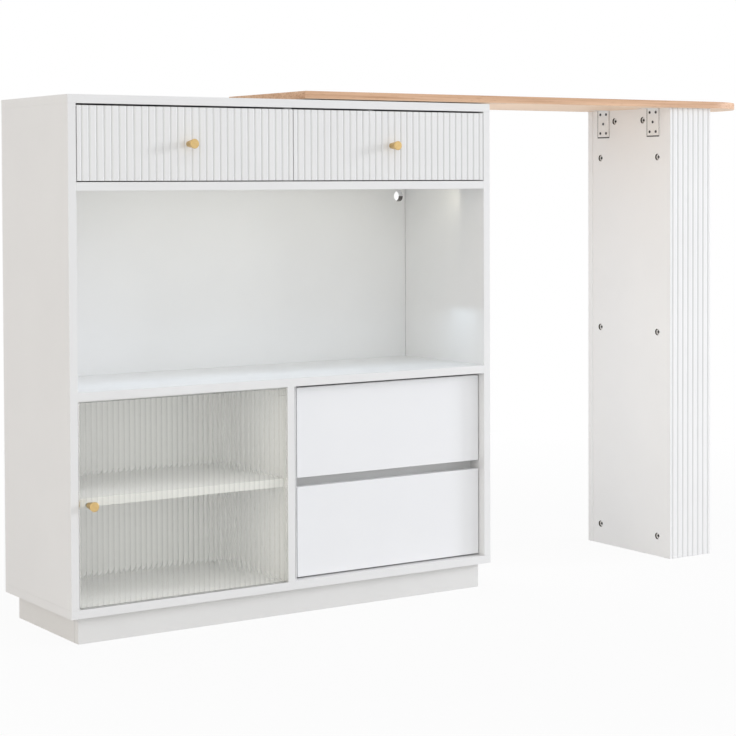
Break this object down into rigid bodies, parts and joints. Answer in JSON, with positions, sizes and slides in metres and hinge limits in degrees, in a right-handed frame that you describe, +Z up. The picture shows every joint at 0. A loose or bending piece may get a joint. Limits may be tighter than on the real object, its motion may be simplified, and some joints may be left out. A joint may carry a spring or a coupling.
{
  "type": "bar table",
  "caption": "Bar table: a white storage cabinet with fluted drawers, an open niche and a reeded glass door, under an oak-look board that runs out to a fluted panel leg.",
  "frame": {"origin": "middle of the plan of the whole object, on the floor", "axes": "+X along the board from the cabinet to the leg, +Y from the front to the back, +Z up"},
  "size_m": [1.7199, 0.325, 1.015],
  "materials": {
    "white_board": "satin white melamine and lacquer",
    "oak_board": "satin light oak with fine straight grain",
    "reeded_glass": "clear glass with upright reeds",
    "brushed_brass": "fine satin brass",
    "zinc_steel": "bright zinc plate",
    "white_steel": "white enamel on steel",
    "black_steel": "black oxide",
    "white_plastic": "matt moulded plastic",
    "clear_plastic": "clear moulded plastic",
    "drawer_board": "matt white foil",
    "drawer_base": "matt white foil on hardboard"
  },
  "bodies": {
    "cabinet": {"back_panel": "white_board", "bay_shelf": "white_board", "bottom_panel": "white_board", "bracket_screws": "black_steel", "counter_shelf": "white_board", "door_pivot_bushes": "white_plastic", "drawer_bay_side": "white_board", "drawer_rail_shelf": "white_board", "drawer_rails": "zinc_steel", "finger_rail": "white_board", "left_side_panel": "white_board", "leg_back_panel": "white_board", "leg_brackets": "white_steel", "leg_cam_locks": "white_steel", "leg_front_panel": "white_board", "leg_inner_panel": "white_board", "leg_outer_panel": "white_board", "lower_divider": "white_board", "plinth_back_board": "white_board", "plinth_front_board": "white_board", "plinth_left_board": "white_board", "plinth_right_board": "white_board", "right_side_panel": "white_board", "shelf_pins": "zinc_steel", "table_bolts": "zinc_steel", "table_top": "oak_board", "top_panel": "white_board", "upper_divider": "white_board"},
    "upper_left_drawer": {"upper_left_drawer_back": "drawer_board", "upper_left_drawer_base": "drawer_base", "upper_left_drawer_front": "white_board", "upper_left_drawer_knob": "brushed_brass", "upper_left_drawer_knob_screw": "zinc_steel", "upper_left_drawer_left_side": "drawer_board", "upper_left_drawer_right_side": "drawer_board", "upper_left_drawer_runners": "zinc_steel"},
    "upper_right_drawer": {"upper_right_drawer_back": "drawer_board", "upper_right_drawer_base": "drawer_base", "upper_right_drawer_front": "white_board", "upper_right_drawer_knob": "brushed_brass", "upper_right_drawer_knob_screw": "zinc_steel", "upper_right_drawer_left_side": "drawer_board", "upper_right_drawer_right_side": "drawer_board", "upper_right_drawer_runners": "zinc_steel"},
    "lower_top_drawer": {"lower_top_drawer_back": "drawer_board", "lower_top_drawer_base": "drawer_base", "lower_top_drawer_front": "white_board", "lower_top_drawer_left_side": "drawer_board", "lower_top_drawer_right_side": "drawer_board", "lower_top_drawer_runners": "zinc_steel"},
    "lower_bottom_drawer": {"lower_bottom_drawer_back": "drawer_board", "lower_bottom_drawer_base": "drawer_base", "lower_bottom_drawer_front": "white_board", "lower_bottom_drawer_left_side": "drawer_board", "lower_bottom_drawer_right_side": "drawer_board", "lower_bottom_drawer_runners": "zinc_steel"},
    "glass_door": {"reeded_glass_pane": "reeded_glass", "door_pivot_clips": "clear_plastic", "glass_door_knob": "brushed_brass", "glass_door_knob_screw": "zinc_steel"}
  },
  "joints": [
    {"name": "upper_left_drawer_slide", "type": "slide", "parent": "cabinet", "child": "upper_left_drawer", "axis": [0, -1, 0], "range_m": [0, 0.18]},
    {"name": "upper_right_drawer_slide", "type": "slide", "parent": "cabinet", "child": "upper_right_drawer", "axis": [0, -1, 0], "range_m": [0, 0.18]},
    {"name": "lower_top_drawer_slide", "type": "slide", "parent": "cabinet", "child": "lower_top_drawer", "axis": [0, -1, 0], "range_m": [0, 0.18]},
    {"name": "lower_bottom_drawer_slide", "type": "slide", "parent": "cabinet", "child": "lower_bottom_drawer", "axis": [0, -1, 0], "range_m": [0, 0.18]},
    {"name": "glass_door_hinge", "type": "hinge", "parent": "cabinet", "child": "glass_door", "pos_m": [-0.4125, -0.1325, 0.255], "axis": [0, 0, 1], "range_deg": [0, 90]}
  ]
}
